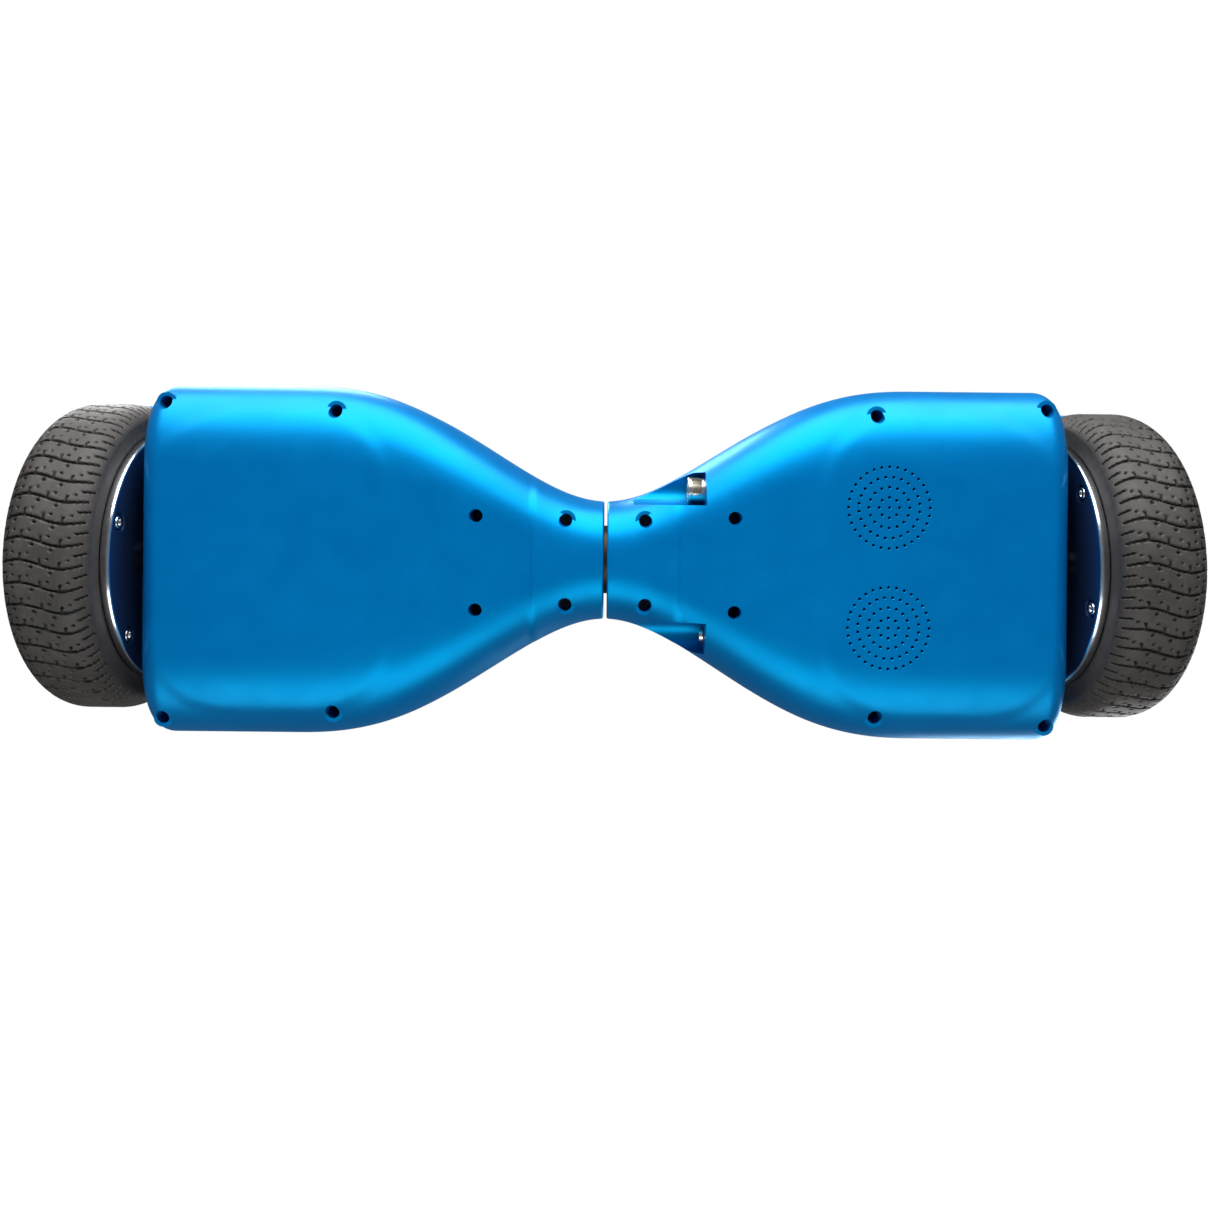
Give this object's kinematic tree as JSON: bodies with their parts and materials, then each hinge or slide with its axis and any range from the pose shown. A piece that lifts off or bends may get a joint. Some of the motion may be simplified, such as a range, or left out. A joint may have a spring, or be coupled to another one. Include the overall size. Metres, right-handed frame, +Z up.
{
  "type": "self balancing hoverboard",
  "caption": "Two-wheeled self-balancing board: blue half bodies twist about a centre shaft, rubber foot mats on top, a hub-motor wheel under a fender at each end.",
  "frame": {"origin": "on the ground under the middle of the board", "axes": "+X along the board toward the half with the speakers and charge socket, +Y to the side with the power button, +Z up"},
  "size_m": [0.584, 0.1872, 0.177],
  "materials": {
    "cover_blue": "metallic lacquer",
    "tyre_rubber": "matte",
    "mat_rubber": "matte",
    "rim_aluminium": "polished lip",
    "hub_navy": "gloss",
    "cast_aluminium": "cast",
    "steel": "brushed",
    "black_steel": "black oxide",
    "lamination": "lacquered",
    "copper": "enamelled",
    "magnet": "nickel plated",
    "battery_wrap": "shrink film",
    "circuit_board": "solder mask",
    "speaker_black": "paper and plastic",
    "black_plastic": "moulded",
    "lens_clear": "clear",
    "socket_metal": "satin nickel",
    "socket_insert": "moulded",
    "button_metal": "satin chrome",
    "bronze": "sintered"
  },
  "bodies": {
    "left_half": {"battery_pack": "battery_wrap", "battery_strap_screws": "black_steel", "battery_straps": "steel", "left_axle": "steel", "left_axle_clamp": "cast_aluminium", "left_axle_clamp_bolts": "black_steel", "left_bottom_cover": "cover_blue", "left_cover_screws": "black_steel", "left_frame": "cast_aluminium", "left_gyro_board": "circuit_board", "left_headlight_board": "circuit_board", "left_headlight_lens": "lens_clear", "left_stator": "lamination", "left_top_cover": "cover_blue", "left_windings": "copper", "limit_pin": "steel", "pivot_circlip": "black_steel", "pivot_shaft": "black_steel"},
    "right_half": {"audio_board": "circuit_board", "board_screws": "black_steel", "charge_port_insert": "socket_insert", "charge_port_shell": "socket_metal", "control_board": "circuit_board", "front_speaker": "speaker_black", "pivot_bushes": "bronze", "power_switch_body": "black_plastic", "rear_speaker": "speaker_black", "right_axle": "steel", "right_axle_clamp": "cast_aluminium", "right_axle_clamp_bolts": "black_steel", "right_bottom_cover": "cover_blue", "right_cover_screws": "black_steel", "right_frame": "cast_aluminium", "right_gyro_board": "circuit_board", "right_headlight_board": "circuit_board", "right_headlight_lens": "lens_clear", "right_stator": "lamination", "right_top_cover": "cover_blue", "right_windings": "copper", "speaker_clips": "black_plastic", "status_lens": "lens_clear"},
    "left_wheel": {"left_tyre": "tyre_rubber", "left_rim": "rim_aluminium", "left_magnets": "magnet", "left_inner_hub_cover": "hub_navy", "left_outer_hub_cover": "hub_navy", "left_hub_screws": "steel", "left_wheel_bearings": "steel", "left_hub_cap": "black_plastic"},
    "right_wheel": {"right_tyre": "tyre_rubber", "right_rim": "rim_aluminium", "right_magnets": "magnet", "right_inner_hub_cover": "hub_navy", "right_outer_hub_cover": "hub_navy", "right_hub_screws": "steel", "right_wheel_bearings": "steel", "right_hub_cap": "black_plastic"},
    "left_foot_mat": {"left_foot_mat": "mat_rubber"},
    "right_foot_mat": {"right_foot_mat": "mat_rubber"},
    "power_button": {"power_button": "button_metal"}
  },
  "joints": [
    {"name": "centre_pivot", "type": "hinge", "parent": "left_half", "child": "right_half", "pos_m": [0, 0, 0.084], "axis": [1, 0, 0], "range_deg": [-12, 12]},
    {"name": "left_wheel_spin", "type": "hinge", "parent": "left_half", "child": "left_wheel", "pos_m": [-0.271, 0, 0.084], "axis": [1, 0, 0], "continuous": true},
    {"name": "right_wheel_spin", "type": "hinge", "parent": "right_half", "child": "right_wheel", "pos_m": [0.271, 0, 0.084], "axis": [1, 0, 0], "continuous": true},
    {"name": "left_foot_mat_press", "type": "slide", "parent": "left_half", "child": "left_foot_mat", "axis": [0, 0, -1], "range_m": [0, 0.0015], "stiffness_N_per_m": 20000},
    {"name": "right_foot_mat_press", "type": "slide", "parent": "right_half", "child": "right_foot_mat", "axis": [0, 0, -1], "range_m": [0, 0.0015], "stiffness_N_per_m": 20000},
    {"name": "power_button_press", "type": "slide", "parent": "right_half", "child": "power_button", "axis": [1, 0, 0], "range_m": [0, 0.0015], "stiffness_N_per_m": 600}
  ]
}
